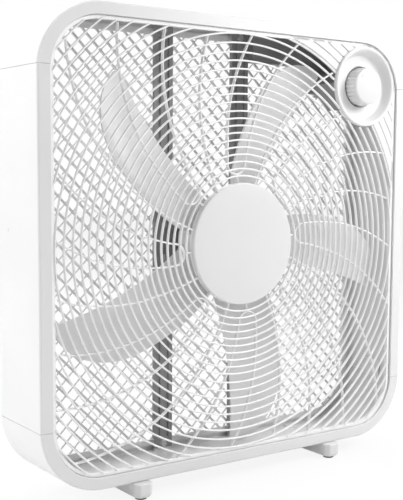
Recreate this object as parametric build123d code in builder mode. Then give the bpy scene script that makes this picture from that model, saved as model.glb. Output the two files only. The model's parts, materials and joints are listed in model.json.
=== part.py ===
from build123d import *
import os
from math import acos, atan2, ceil, cos, degrees, hypot, pi, radians, sin

# A box fan that stands on two feet. X is the viewer's right, Y runs backwards and Z is up.
# The front faces -Y. The origin is on the floor, under the middle of the casing. Millimetres.

# ---- Casing -------------------------------------------------------------------------------
body_width = 520.0
body_height = 517.0
body_depth = 99.0
corner_radius = 74.5
wall = 2.5
side_rim = 15.0             # width of the front rim at the left and right
top_rim = 13.5              # width of the front rim at the top and bottom
rim_thickness = 3.0
back_lip_thickness = 3.0
rim_chamfer = 1.6
seam_above_fan = 190.5      # height of the upper seam over the fan's axis
seam_below_fan = 187.0
seam_gap = 0.4
tongue_length = 16.0        # how far a joint tongue reaches past its seam
tongue_root = 8.0           # how much of it lies before the seam
tongue_width = 34.0
tongue_thickness = 2.5

# ---- Feet ---------------------------------------------------------------------------------
foot_drop = 19.0            # floor to the underside of the casing
foot_width = 23.0
foot_overhang = 9.0         # how far a foot stands out in front and behind
foot_spread = 139.0         # from the middle of the casing to the middle of a foot
foot_corner = 5.0
pad_radius = 6.6
pad_sides = 16
pad_height = 2.5
pad_inset = 11.0            # from the end of a foot to the middle of its pad
peg_length = 16.0
peg_width = 7.0
peg_clearance = 0.3
peg_spread = 32.0
peg_proud = 1.5             # how far a peg stands up inside the casing

# ---- Front grille -------------------------------------------------------------------------
grille_recess = 1.5         # rim face to the crest of the rings
ring_width = 2.2
ring_depth = 4.0
ring_zones = ((79.0, 8.25, 10), (163.4, 9.4, 7))      # first radius, pitch and count
outer_rings = (230.3, 10.5)                           # first radius and pitch, out to the corners
ring_sagitta = 2.0          # how far a ring's straight sides may leave its circle
spoke_count = 24
spoke_width = 1.8
spoke_depth = 3.0
spoke_bends = (94.0, 150.0, 203.0, 248.0)             # radii where a spoke is bent
spoke_curl_start = 60.0     # how far out from the first bend the curl begins
spoke_hub_angle = 13.2      # angle of the first spoke at the innermost station
spoke_sweep = 0.095         # degrees a spoke falls back for each millimetre of radius
spoke_curl = 0.00018        # further degrees for each square millimetre
hairpin_radius = 12.0
hairpin_bends = ((-1, 0.0), (-0.67, 0.7), (0, 1.0), (0.67, 0.7), (1, 0.0))    # shares across and inwards
frame_width = 8.5           # the grille's edge frame, with the part under the rim
frame_depth = 5.5
frame_under_rim = 4.0
hub_ring_width = 5.0

# ---- Hub disc -----------------------------------------------------------------------------
disc_radius = 70.9
disc_proud = 1.5            # how far the disc stands out of the rim's plane
disc_wall = 2.0
disc_sides = 48             # the disc is drawn with flat sides

# ---- Controls -----------------------------------------------------------------------------
knob_from_side = 70.9       # side of the casing to the knob's axis
knob_from_top = 67.6
plate_inner_radius = 248.5  # the control plate begins here, measured from the fan's axis
plate_reach = 90.0          # how far the plate may reach past the dish
dish_radius = 49.5
dish_proud = 0.5
dish_lip = 3.0
dish_depth = 10.0
dish_floor_radius = 38.0
dish_wall = 2.0
well_radius = 25.4          # the knob sinks into this well in the dish's floor
well_depth = 5.0
knob_radius = 24.1
knob_face_radius = 22.4
knob_proud = 6.0            # how far the knob's face stands out of the rim's plane
knob_floor_gap = 1.0        # knob to the bottom of its well
knob_edge = 1.5             # length of the steep edge round the knob's face
knob_edge_taper = 45.0      # degrees
knob_flutes = 28
flute_bite = 0.8
knob_wall = 2.2
knob_boss_radius = 6.0
knob_boss_sides = 8
switch_size = 28.0
switch_depth = 16.0
switch_shaft_radius = 3.0
switch_shaft_reach = 4.0    # how far the shaft reaches into the switch
shaft_flat = 2.2            # from the shaft's axis to its flat
bushing_radius = 4.8
bushing_sides = 16
running_clearance = 0.05
bushing_proud = 2.4         # switch's bushing in front of the well's floor
housing_size = 46.0
housing_wall = 1.5
seat_gap = 0.3              # between parts that seat without a fit

# ---- Rear grille --------------------------------------------------------------------------
rear_frame_under_lip = 5.0
rear_frame_width = 7.0
rear_frame_depth = 4.0
lattice_pitch = 12.93       # square to the bars, which run at 45 degrees
wide_bar = 2.6
wide_bar_depth = 2.2
thin_bar = 1.5
cord_pad_size = 26.0
cord_hole_radius = 5.2
cord_gland_wall = 2.4
gland_sides = 16
cord_gland_lip = 1.5        # how far the gland's rim stands out behind the lattice
cord_from_side = 64.0       # sides of the casing to the cord's hole

# ---- Motor bars ---------------------------------------------------------------------------
bar_spread = 56.0
bar_width = 25.5
bar_depth = 5.0
bar_sheet = 1.2
groove_spread = 6.0
groove_width = 3.0
groove_depth = 2.0
bar_end_gap = 2.5           # casing wall to the end of a bar
boss_width = 22.0
boss_height = 14.0

# ---- Motor --------------------------------------------------------------------------------
mount_width = 140.0
mount_height = 58.0
mount_sheet = 2.0
motor_across = 78.0         # of the octagonal stack
octagon_turn = 22.5         # degrees, so that a flat side is at the top
stack_depth = 22.0
rear_shell_depth = 9.0
front_shell_depth = 11.0
shell_wall = 2.5
bearing_boss_radius = 11.0
bearing_boss_length = 5.5
round_sides = 24            # of round shapes inside the motor, which are drawn with flat sides
shaft_radius = 4.0
rotor_radius = 22.0
air_gap = 0.4
winding_inner = 25.0
winding_outer = 34.0
winding_depth = 4.0
winding_sides = 12
mount_corner = 8.0

# ---- Fan ----------------------------------------------------------------------------------
blade_count = 5
blade_tip_gap = 11.0        # blade tips to the casing's nearest walls
blade_width = 64.5
blade_widest = 161.0        # from the fan's axis to where a blade is widest
blade_belly = 142.0         # how far inwards of there the belly's ellipse reaches
blade_root_radius = 48.5
blade_start = 30.0          # the outline begins here, inside the hub
blade_start_flare = 22.0    # how far the hollow edge swings out there
blade_hollow_radius = 150.0 # where the hollow edge swings in the most
blade_tip_round = 6.0       # the hollow edge swings out as much at the tip
blade_thickness = 2.2
blade_cone = 52.0           # half angle of the cone that a blade's sheet is part of
blade_cone_rise = 5.6       # slope of the cone's lowest line, in degrees, towards the front
blade_cone_apex = (8.0, -27.0, -6.4)
blade_cone_reach = (32.0, 256.0)    # along that line from the apex
blade_cone_sweep = 110.0    # degrees
blade_angle = 57.0          # angle of the first blade's straight edge, seen from the front
hub_radius = 50.0
hub_sides = 40
hub_wall = 3.0
hub_front_gap = 5.0         # back of the grille's spokes to the front of the hub
hub_back_gap = 11.0         # back of the hub to the back of the motor's stack
hub_boss_radius = 9.0
hub_boss_gap = 4.0          # hub's boss to the boss of the motor's front shell

# ---- Wiring -------------------------------------------------------------------------------
cover_height = 37.0
cover_depth = 14.0
cover_right = 33.0          # past the knob's axis
cover_turn = 29.0           # short of the knob's axis, where the cover widens towards the switch
cover_low = 6.0             # under the knob's axis
cover_wall = 1.5
cover_back_gap = 1.5
capacitor_size = (38.0, 9.0, 19.0)
capacitor_x = 110.0

# ---- Places worked out from the sizes above -------------------------------------------------
fan_z = foot_drop + body_height / 2
front_y = -body_depth / 2
back_y = body_depth / 2
half_width = body_width / 2
half_height = body_height / 2
inner_half_height = half_height - wall
opening_width = body_width - 2 * side_rim
opening_height = body_height - 2 * top_rim
opening_radius = corner_radius - side_rim
grille_front_y = front_y + rim_thickness          # the grille's frame seats on the rim's back
frame_inner_width = opening_width + 2 * frame_under_rim - 2 * frame_width
frame_inner_height = opening_height + 2 * frame_under_rim - 2 * frame_width
frame_inner_radius = opening_radius + frame_under_rim - frame_width
ring_front_y = front_y + grille_recess
ring_back_y = ring_front_y + ring_depth           # the rings seat on the spokes here
spoke_back_y = ring_back_y + spoke_depth
corner_reach = opening_radius + hypot(half_width - corner_radius, half_height - corner_radius)
outer_count = int((corner_reach - outer_rings[0]) / outer_rings[1]) + 1
ring_radii = [
    first + pitch * number
    for first, pitch, count in (*ring_zones, (*outer_rings, outer_count))
    for number in range(count)
]
plate_back_y = ring_back_y                        # the plate seats on the spokes, as the rings do
dish_front_y = front_y - dish_proud
dish_floor_y = front_y + dish_depth
well_floor_y = dish_floor_y + well_depth
dish_back_y = well_floor_y + dish_wall
knob_x = half_width - knob_from_side
knob_above_fan = half_height - knob_from_top
knob_z = fan_z + knob_above_fan
knob_front_y = front_y - knob_proud
knob_back_y = well_floor_y - knob_floor_gap
knob_boss_back_y = well_floor_y - bushing_proud - knob_floor_gap
switch_back_y = dish_back_y + switch_depth
rear_grille_y = back_y - back_lip_thickness - rear_frame_depth    # front face of the rear grille
bar_back_y = rear_grille_y - seat_gap             # the bars lie against the rear grille
bar_front_y = bar_back_y - bar_depth
mount_front_y = bar_front_y - mount_sheet
stack_back_y = mount_front_y - rear_shell_depth
stack_front_y = stack_back_y - stack_depth
shaft_end_y = mount_front_y + bearing_boss_length - shell_wall    # bottom of the rear bearing
shell_front_y = stack_front_y - front_shell_depth
hub_front_y = spoke_back_y + hub_front_gap
hub_back_y = stack_back_y - hub_back_gap
hub_boss_back_y = shell_front_y - bearing_boss_length - hub_boss_gap
blade_tip_radius = min(half_width, half_height) - wall - blade_tip_gap
control_reach = dish_radius + plate_reach         # half of the square that holds the control plate
bar_half = inner_half_height - bar_end_gap        # half of a motor bar's length
cover_front_y = rear_grille_y - cover_back_gap - cover_depth


past = 1.0                                        # how far a cutting block reaches past what it cuts


def facing(y, x=0.0, z=fan_z):
    """A sketch plane at depth y that faces the front, with its origin at x and z."""
    return Plane(origin=(x, y, z), x_dir=(1, 0, 0), z_dir=(0, -1, 0))


def at_angle(radius, degrees):
    """The point at this radius and angle, seen from the front, counter-clockwise from the right."""
    return (radius * cos(radians(degrees)), radius * sin(radians(degrees)))


def spoke_angle(radius):
    """How far round a spoke is at this radius, as it falls back towards the rim."""
    out = radius - spoke_bends[0]
    return spoke_hub_angle - spoke_sweep * out - spoke_curl * out * max(out - spoke_curl_start, 0)


# ---- Casing: four mouldings that meet at two seams on each side -------------------------------
with BuildPart() as casing:
    with BuildSketch(facing(back_y)):
        RectangleRounded(body_width, body_height, corner_radius)
    extrude(amount=body_depth)
    chamfer(casing.faces().sort_by(Axis.Y)[0].edges(), rim_chamfer)
    with BuildSketch(facing(back_y - back_lip_thickness)):
        RectangleRounded(body_width - 2 * wall, body_height - 2 * wall, corner_radius - wall)
    extrude(amount=body_depth - back_lip_thickness - rim_thickness, mode=Mode.SUBTRACT)
    with BuildSketch(facing(back_y)):
        RectangleRounded(opening_width, opening_height, opening_radius)
    extrude(amount=body_depth, mode=Mode.SUBTRACT)

upper_seam = fan_z + seam_above_fan
lower_seam = fan_z - seam_below_fan


def band(bottom, top, x=0.0, width=body_width + 2 * past):
    """A block across the casing between two heights, to cut one moulding out of it."""
    with BuildPart() as block:
        with BuildSketch(Plane.XY.offset(bottom)):
            with Locations((x, 0)):
                Rectangle(width, body_depth + 2 * past)
        extrude(amount=top - bottom)
    return block.part


def seam_tongues(seam, upwards):
    """Two tabs inside the casing wall, which reach past the seam and locate the side panels."""
    above, below = (tongue_length, tongue_root) if upwards else (tongue_root, tongue_length)
    with BuildPart() as tongues:
        with BuildSketch(Plane.XY.offset(seam - below)):
            for side in (-1, 1):
                with Locations((side * (half_width - wall - seat_gap - tongue_thickness / 2), 0)):
                    Rectangle(tongue_thickness, tongue_width)
        extrude(amount=above + below)
    return tongues.part


def bar_bosses(side):
    """Two blocks on the casing wall that carry the motor bars' ends. side is 1 at the top."""
    middle = inner_half_height - boss_height / 2
    with BuildPart() as bosses:
        with BuildSketch(facing(rear_grille_y)):
            with Locations((-bar_spread, side * middle), (bar_spread, side * middle)):
                Rectangle(boss_width, boss_height)
        extrude(amount=rear_grille_y - bar_front_y - bar_sheet)
    return bosses.part


above_seam = band(upper_seam + seam_gap / 2, foot_drop + body_height + past)
below_seam = band(foot_drop - past, lower_seam - seam_gap / 2)
top_tongues = seam_tongues(upper_seam, upwards=False)
bottom_tongues = seam_tongues(lower_seam, upwards=True)
top_bosses = bar_bosses(1)
bottom_bosses = bar_bosses(-1)

with BuildPart() as top_shell:
    add(casing.part)
    add(above_seam, mode=Mode.INTERSECT)
    add(top_tongues)
    add(top_bosses)

with BuildPart() as bottom_shell:
    add(casing.part)
    add(below_seam, mode=Mode.INTERSECT)
    add(bottom_tongues)
    add(bottom_bosses)
    with BuildSketch(Plane.XY.offset(foot_drop - past)):
        for x in (-foot_spread, foot_spread):
            with Locations((x, -peg_spread), (x, peg_spread)):
                Rectangle(peg_width + 2 * peg_clearance, peg_length + 2 * peg_clearance)
    extrude(amount=wall + 2 * past, mode=Mode.SUBTRACT)

side_panels = {}
for side_name, side in (("left_side_panel", -1), ("right_side_panel", 1)):
    beside = band(lower_seam + seam_gap / 2, upper_seam - seam_gap / 2, side * half_width, half_width)
    with BuildPart() as side_panel:
        add(casing.part)
        add(beside, mode=Mode.INTERSECT)
    side_panels[side_name] = side_panel

# ---- Feet: two runners pegged into the bottom shell, each on two rubber pads ----------------
foot_length = body_depth + 2 * foot_overhang
pad_y = foot_length / 2 - pad_inset

feet = {}
for foot_name, x in (("foot_left", -foot_spread), ("foot_right", foot_spread)):
    with BuildPart() as foot:
        with BuildSketch(Plane.XY.offset(pad_height)):
            with Locations((x, 0)):
                Rectangle(foot_width, foot_length)
        extrude(amount=foot_drop - pad_height)
        chamfer(foot.edges().filter_by(Axis.Z), foot_corner)
        chamfer(foot.faces().sort_by(Axis.Z)[0].edges(), foot_corner / 2)
        with BuildSketch(Plane.XY.offset(foot_drop)):
            with Locations((x, -peg_spread), (x, peg_spread)):
                Rectangle(peg_width, peg_length)
        extrude(amount=wall + peg_proud)
    feet[foot_name] = foot

with BuildPart() as foot_pads:
    with BuildSketch(Plane.XY):
        for x in (-foot_spread, foot_spread):
            with Locations((x, -pad_y), (x, pad_y)):
                RegularPolygon(pad_radius, pad_sides)
    extrude(amount=pad_height)

# ---- Front grille: edge frame, hub ring and curved spokes in one piece, rings in front --------
hub_ring_inner = disc_radius - hub_ring_width
hairpin_start = spoke_bends[0]
spoke_stations = (*spoke_bends, corner_reach)

with BuildPart() as front_grille:
    with BuildSketch(facing(spoke_back_y)):
        for number in range(spoke_count):
            turn = number * 360 / spoke_count
            stations = spoke_stations
            if number % 3 == 1:
                stations = (disc_radius - past, *spoke_stations)
            with BuildLine() as spoke:
                Polyline(*[at_angle(radius, spoke_angle(radius) + turn) for radius in stations])
            trace(line_width=spoke_width)
        for number in range(0, spoke_count, 3):
            middle = (number - 0.5) * 360 / spoke_count + spoke_angle(hairpin_start)
            with BuildLine() as hairpin:
                Polyline(*[
                    at_angle(hairpin_start - depth * hairpin_radius, middle + share * 180 / spoke_count)
                    for share, depth in hairpin_bends
                ])
            trace(line_width=spoke_width)
            with BuildLine() as stub:
                Line(at_angle(disc_radius - past, middle), at_angle(hairpin_start - hairpin_radius, middle))
            trace(line_width=spoke_width)
        with BuildSketch(mode=Mode.INTERSECT):
            RectangleRounded(frame_inner_width + past, frame_inner_height + past, frame_inner_radius)
            with Locations((knob_x, knob_above_fan)):
                Circle(dish_radius + seat_gap, mode=Mode.SUBTRACT)
        RegularPolygon(disc_radius, spoke_count)
        RegularPolygon(hub_ring_inner, spoke_count, mode=Mode.SUBTRACT)
    extrude(amount=spoke_depth)
    with BuildSketch(facing(grille_front_y + frame_depth)):
        RectangleRounded(
            opening_width + 2 * frame_under_rim,
            opening_height + 2 * frame_under_rim,
            opening_radius + frame_under_rim,
        )
        RectangleRounded(frame_inner_width, frame_inner_height, frame_inner_radius, mode=Mode.SUBTRACT)
        with Locations((knob_x, knob_above_fan)):
            Circle(dish_radius + seat_gap, mode=Mode.SUBTRACT)
    extrude(amount=frame_depth)

# The rings are drawn with straight sides, as many as hold them to their circles within the sagitta.
with BuildPart() as front_grille_rings:
    with BuildSketch(facing(ring_back_y)):
        for radius in reversed(ring_radii):
            sides = ceil(pi / acos(1 - ring_sagitta / radius))
            RegularPolygon(radius + ring_width / 2, sides)
            RegularPolygon(radius - ring_width / 2, sides, mode=Mode.SUBTRACT)
        with BuildSketch(mode=Mode.INTERSECT):
            RectangleRounded(frame_inner_width, frame_inner_height, frame_inner_radius)
        with BuildSketch(mode=Mode.SUBTRACT):
            with Locations((knob_x, knob_above_fan)):
                Rectangle(2 * control_reach, 2 * control_reach)
            Circle(plate_inner_radius - seat_gap, mode=Mode.SUBTRACT)
            with Locations((knob_x, knob_above_fan)):
                Circle(dish_radius + seat_gap)
    extrude(amount=ring_depth)

# ---- Hub disc: a plain cap that closes the middle of the grille ------------------------------
with BuildPart() as hub_disc:
    with BuildSketch(facing(ring_back_y)):
        RegularPolygon(disc_radius, disc_sides)
    extrude(amount=ring_back_y - front_y + disc_proud)
    with BuildSketch(facing(ring_back_y)):
        RegularPolygon(disc_radius - hub_ring_width / 2, spoke_count)
    extrude(amount=ring_back_y - front_y + disc_proud - disc_wall, mode=Mode.SUBTRACT)

# ---- Controls: plate, dish, knob and switch --------------------------------------------------
with BuildPart() as control_panel:
    with BuildSketch(facing(plate_back_y)):
        RectangleRounded(
            frame_inner_width - 2 * seat_gap, frame_inner_height - 2 * seat_gap, frame_inner_radius
        )
        with BuildSketch(mode=Mode.INTERSECT):
            with Locations((knob_x, knob_above_fan)):
                Rectangle(2 * control_reach, 2 * control_reach)
        Circle(plate_inner_radius, mode=Mode.SUBTRACT)
        with Locations((knob_x, knob_above_fan)):
            Circle(dish_radius - past, mode=Mode.SUBTRACT)
    extrude(amount=plate_back_y - grille_front_y)
    with BuildSketch(Plane(origin=(knob_x, 0, knob_z), x_dir=(1, 0, 0), z_dir=(0, 0, 1))):
        with BuildLine():
            Polyline(
                (bushing_radius + seat_gap, dish_back_y),
                (bushing_radius + seat_gap, well_floor_y),
                (well_radius, well_floor_y),
                (well_radius, dish_floor_y),
                (dish_floor_radius, dish_floor_y),
                (dish_radius - dish_lip, dish_front_y),
                (dish_radius, dish_front_y),
                (dish_radius, plate_back_y),
                (well_radius + dish_wall, dish_back_y),
                close=True,
            )
        make_face()
    revolve(axis=Axis((knob_x, 0, knob_z), (0, 1, 0)))

knob_outline = []
for number in range(knob_flutes):
    knob_outline.append(at_angle(knob_radius, number * 360 / knob_flutes))
    knob_outline.append(at_angle(knob_radius - flute_bite, (number + 0.5) * 360 / knob_flutes))
knob_side = knob_back_y - knob_front_y - knob_edge
knob_draft = degrees(atan2(knob_radius - knob_face_radius, knob_side))

with BuildPart() as speed_knob:
    with BuildSketch(facing(knob_back_y, knob_x, knob_z)):
        Polygon(*knob_outline, align=None)
    extrude(amount=knob_side, taper=knob_draft)
    extrude(speed_knob.faces().sort_by(Axis.Y)[0], amount=knob_edge, taper=knob_edge_taper)
    with BuildSketch(facing(knob_back_y, knob_x, knob_z)):
        RegularPolygon(knob_face_radius - knob_wall, knob_flutes // 2)
        RegularPolygon(knob_boss_radius, knob_boss_sides, mode=Mode.SUBTRACT)
    extrude(amount=knob_back_y - knob_front_y - 2 * knob_wall, mode=Mode.SUBTRACT)
    with BuildSketch(facing(knob_back_y, knob_x, knob_z)):
        RegularPolygon(knob_boss_radius + past, knob_boss_sides)
    extrude(amount=knob_back_y - knob_boss_back_y, mode=Mode.SUBTRACT)
    with BuildSketch(facing(knob_back_y, knob_x, knob_z)):
        Circle(switch_shaft_radius + running_clearance)
        with Locations((switch_shaft_radius + shaft_flat + running_clearance, 0)):
            Rectangle(2 * switch_shaft_radius, 4 * switch_shaft_radius, mode=Mode.SUBTRACT)
    extrude(amount=knob_back_y - knob_front_y - 2 * knob_wall, mode=Mode.SUBTRACT)

shaft_back_y = dish_back_y + seat_gap + switch_shaft_reach
with BuildPart() as switch_shaft:
    with BuildSketch(facing(shaft_back_y, knob_x, knob_z)):
        Circle(switch_shaft_radius)
    extrude(amount=shaft_back_y - knob_front_y - 2 * knob_wall - seat_gap)
    with BuildSketch(facing(knob_back_y, knob_x, knob_z)):
        with Locations((switch_shaft_radius + shaft_flat, 0)):
            Rectangle(2 * switch_shaft_radius, 4 * switch_shaft_radius)
    extrude(amount=knob_back_y - knob_front_y, mode=Mode.SUBTRACT)

with BuildPart() as rotary_switch:
    with BuildSketch(facing(switch_back_y, knob_x, knob_z)):
        Rectangle(switch_size, switch_size, rotation=45)
    extrude(amount=switch_depth - seat_gap)
    with BuildSketch(facing(dish_back_y + seat_gap, knob_x, knob_z)):
        RegularPolygon(bushing_radius, bushing_sides)
    extrude(amount=dish_back_y + seat_gap - well_floor_y + bushing_proud)
    with BuildSketch(facing(shaft_back_y + seat_gap, knob_x, knob_z)):
        Circle(switch_shaft_radius + running_clearance)
    extrude(amount=body_depth, mode=Mode.SUBTRACT)

knob_from_fan = hypot(knob_x, knob_above_fan)
housing_from_fan = knob_from_fan + (housing_size - switch_size) / 2 - housing_wall - seat_gap
housing_x = knob_x * housing_from_fan / knob_from_fan
housing_z = fan_z + knob_above_fan * housing_from_fan / knob_from_fan
with BuildPart() as switch_housing:
    with BuildSketch(facing(cover_front_y, housing_x, housing_z)):
        Rectangle(housing_size, housing_size, rotation=45)
    extrude(amount=cover_front_y - dish_back_y - seat_gap)
    with BuildSketch(facing(cover_front_y - housing_wall, housing_x, housing_z)):
        Rectangle(housing_size - 2 * housing_wall, housing_size - 2 * housing_wall, rotation=45)
    extrude(amount=body_depth, mode=Mode.SUBTRACT)

# ---- Wiring cover: a tray under the top wall, from the right motor bar to the switch ----------
cover_top = inner_half_height - seat_gap
cover_bottom = cover_top - cover_height
cover_left = bar_spread + bar_width / 2 + seat_gap
cover_right_x = knob_x + cover_right

with BuildPart() as wiring_cover:
    with BuildSketch(facing(cover_front_y + cover_depth)) as cover_plan:
        with BuildLine():
            Polyline(
                (cover_left, cover_bottom),
                (knob_x - cover_turn, cover_bottom),
                (knob_x - cover_turn, knob_above_fan - cover_low),
                (cover_right_x, knob_above_fan - cover_low),
                (cover_right_x, cover_top - cover_right / 2),
                (knob_x, cover_top),
                (cover_left, cover_top),
                close=True,
            )
        make_face()
    extrude(amount=cover_depth)
    with BuildSketch(facing(cover_front_y + cover_depth)):
        offset(cover_plan.sketch_local, -cover_wall, kind=Kind.INTERSECTION)
    extrude(amount=cover_depth - cover_wall, mode=Mode.SUBTRACT)

with BuildPart() as run_capacitor:
    with BuildSketch(facing(cover_front_y + cover_wall + capacitor_size[1])):
        with Locations((capacitor_x, (cover_bottom + cover_top) / 2)):
            Rectangle(capacitor_size[0], capacitor_size[2])
    extrude(amount=capacitor_size[1])

# ---- Rear grille: a diamond lattice in a frame behind the casing's back lip -------------------
lattice_back_y = back_y - back_lip_thickness
cord_x = half_width - cord_from_side
cord_above_fan = half_height - cord_from_side
rear_inner_width = opening_width + 2 * rear_frame_under_lip - 2 * rear_frame_width
rear_inner_height = opening_height + 2 * rear_frame_under_lip - 2 * rear_frame_width
rear_inner_radius = opening_radius + rear_frame_under_lip - rear_frame_width
bars_each_way = ceil((rear_inner_width + rear_inner_height) / 2 ** 0.5 / lattice_pitch / 2)
bar_reach = rear_inner_width + rear_inner_height


def lattice_bars(slant, width, back, depth):
    """One family of the lattice's bars, clipped to the window in the rear frame."""
    with BuildPart() as bars:
        with BuildSketch(facing(back)):
            for number in range(-bars_each_way, bars_each_way + 1):
                with Locations(at_angle((number + 0.5) * lattice_pitch, slant)):
                    Rectangle(width, bar_reach, rotation=slant)
            with BuildSketch(mode=Mode.INTERSECT):
                RectangleRounded(rear_inner_width, rear_inner_height, rear_inner_radius)
            with Locations((cord_x, cord_above_fan)):
                Rectangle(cord_pad_size, cord_pad_size, mode=Mode.SUBTRACT)
        extrude(amount=depth)
    return bars.part


with BuildPart() as rear_grille_frame:
    with BuildSketch(facing(lattice_back_y)):
        RectangleRounded(
            opening_width + 2 * rear_frame_under_lip,
            opening_height + 2 * rear_frame_under_lip,
            opening_radius + rear_frame_under_lip,
        )
        RectangleRounded(rear_inner_width, rear_inner_height, rear_inner_radius, mode=Mode.SUBTRACT)
        with Locations((cord_x, cord_above_fan)):
            Rectangle(cord_pad_size, cord_pad_size)
    extrude(amount=rear_frame_depth)
    with BuildSketch(facing(lattice_back_y + cord_gland_lip, cord_x, fan_z + cord_above_fan)):
        RegularPolygon(cord_hole_radius + cord_gland_wall, gland_sides)
    extrude(amount=cord_gland_lip)
    with BuildSketch(facing(back_y, cord_x, fan_z + cord_above_fan)):
        RegularPolygon(cord_hole_radius, gland_sides)
    extrude(amount=body_depth, mode=Mode.SUBTRACT)

wide_bars = lattice_bars(45, wide_bar, lattice_back_y - rear_frame_depth + wide_bar_depth, wide_bar_depth)
thin_bars = lattice_bars(-45, thin_bar, lattice_back_y, rear_frame_depth - wide_bar_depth)
rear_grille = Compound(children=[rear_grille_frame.part, *wide_bars.solids(), *thin_bars.solids()])

# ---- Motor bars: two grooved steel channels from the top wall to the bottom wall --------------
tab_length = boss_height - bar_end_gap + seat_gap    # flat end of a bar, on its boss
motor_bars = {}
for bar_name, side in (("motor_bar_left", -1), ("motor_bar_right", 1)):
    with BuildPart() as motor_bar:
        with BuildSketch(Plane.XY.offset(fan_z - bar_half)):
            with Locations((side * bar_spread, bar_front_y + bar_depth / 2)):
                Rectangle(bar_width, bar_depth)
            with Locations((side * bar_spread, bar_front_y + bar_depth / 2 + bar_sheet)):
                Rectangle(bar_width - 2 * bar_sheet, bar_depth, mode=Mode.SUBTRACT)
            for groove in (-groove_spread, groove_spread):
                groove_x = side * bar_spread + groove
                with Locations((groove_x, bar_front_y + (groove_depth + bar_sheet) / 2)):
                    Rectangle(groove_width + 2 * bar_sheet, groove_depth + bar_sheet)
                with Locations((groove_x, bar_front_y + groove_depth / 2)):
                    Rectangle(groove_width, groove_depth, mode=Mode.SUBTRACT)
        extrude(amount=2 * bar_half)
        with BuildSketch(facing(bar_back_y, side * bar_spread)):
            with Locations((0, -bar_half), (0, bar_half)):
                Rectangle(bar_width, 2 * tab_length)
        extrude(amount=bar_depth - bar_sheet, mode=Mode.SUBTRACT)
        with BuildSketch(facing(bar_front_y + bar_sheet, side * bar_spread)):
            with Locations((0, tab_length / 2 - bar_half), (0, bar_half - tab_length / 2)):
                Rectangle(bar_width, tab_length)
        extrude(amount=bar_sheet)
    motor_bars[bar_name] = motor_bar

# ---- Motor: an octagonal stack between two shells, on a plate across the two bars -------------
with BuildPart() as motor_mount:
    with BuildSketch(facing(bar_front_y)):
        mount_plan = Rectangle(mount_width, mount_height)
        chamfer(mount_plan.vertices(), mount_corner)
        RegularPolygon(bearing_boss_radius + seat_gap, round_sides, mode=Mode.SUBTRACT)
    extrude(amount=mount_sheet)

with BuildPart() as motor_rear_shell:
    with BuildSketch(facing(mount_front_y)):
        RegularPolygon(motor_across / 2, 8, major_radius=False, rotation=octagon_turn)
    extrude(amount=rear_shell_depth)
    with BuildSketch(facing(mount_front_y - shell_wall)):
        RegularPolygon(motor_across / 2 - shell_wall, 8, major_radius=False, rotation=octagon_turn)
    extrude(amount=rear_shell_depth, mode=Mode.SUBTRACT)
    with BuildSketch(facing(mount_front_y + bearing_boss_length)):
        RegularPolygon(bearing_boss_radius, round_sides)
    extrude(amount=bearing_boss_length)
    with BuildSketch(facing(shaft_end_y)):
        Circle(shaft_radius + running_clearance)
    extrude(amount=body_depth, mode=Mode.SUBTRACT)

with BuildPart() as motor_front_shell:
    with BuildSketch(facing(stack_front_y)):
        RegularPolygon(motor_across / 2, 8, major_radius=False, rotation=octagon_turn)
    extrude(amount=front_shell_depth)
    chamfer(motor_front_shell.faces().sort_by(Axis.Y)[0].edges(), shell_wall)
    with BuildSketch(facing(stack_front_y)):
        RegularPolygon(motor_across / 2 - shell_wall, 8, major_radius=False, rotation=octagon_turn)
    extrude(amount=front_shell_depth - shell_wall, mode=Mode.SUBTRACT)
    with BuildSketch(facing(shell_front_y)):
        RegularPolygon(bearing_boss_radius, round_sides)
    extrude(amount=bearing_boss_length)
    with BuildSketch(facing(stack_front_y)):
        Circle(shaft_radius + running_clearance)
    extrude(amount=body_depth, mode=Mode.SUBTRACT)

with BuildPart() as stator_core:
    with BuildSketch(facing(stack_back_y)):
        RegularPolygon(motor_across / 2, 8, major_radius=False, rotation=octagon_turn)
        RegularPolygon(rotor_radius + air_gap, round_sides, major_radius=False, mode=Mode.SUBTRACT)
    extrude(amount=stack_depth)

with BuildPart() as stator_winding:
    for back in (stack_front_y, stack_back_y + winding_depth):
        with BuildSketch(facing(back)):
            RegularPolygon(winding_outer, winding_sides)
            RegularPolygon(winding_inner, winding_sides, mode=Mode.SUBTRACT)
        extrude(amount=winding_depth)

with BuildPart() as rotor:
    with BuildSketch(facing(stack_back_y)):
        RegularPolygon(rotor_radius, round_sides)
    extrude(amount=stack_depth)
    with BuildSketch(facing(shaft_end_y - seat_gap)):
        Circle(shaft_radius)
    extrude(amount=shaft_end_y - seat_gap - hub_front_y)

# ---- Fan: a hub cup over the motor with five curved blades, in one moulding -------------------
# One blade is made about the local Z axis, which points to the front. Its hollow edge lies along X
# and its belly is on the +Y side, further forward. The sheet is part of a cone whose apex is near
# the hub, so it is steep at the root, flatter at the tip and hollow across. The fan turns clockwise
# seen from the front: the hollow edge leads and the air leaves off the belly.
blade_tip = blade_tip_radius - blade_tip_round
blade_root_turn = degrees(acos((blade_start - blade_widest) / blade_belly))
cone_line = radians(blade_cone_rise)
cone_axis = radians(blade_cone_rise + blade_cone)

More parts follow.
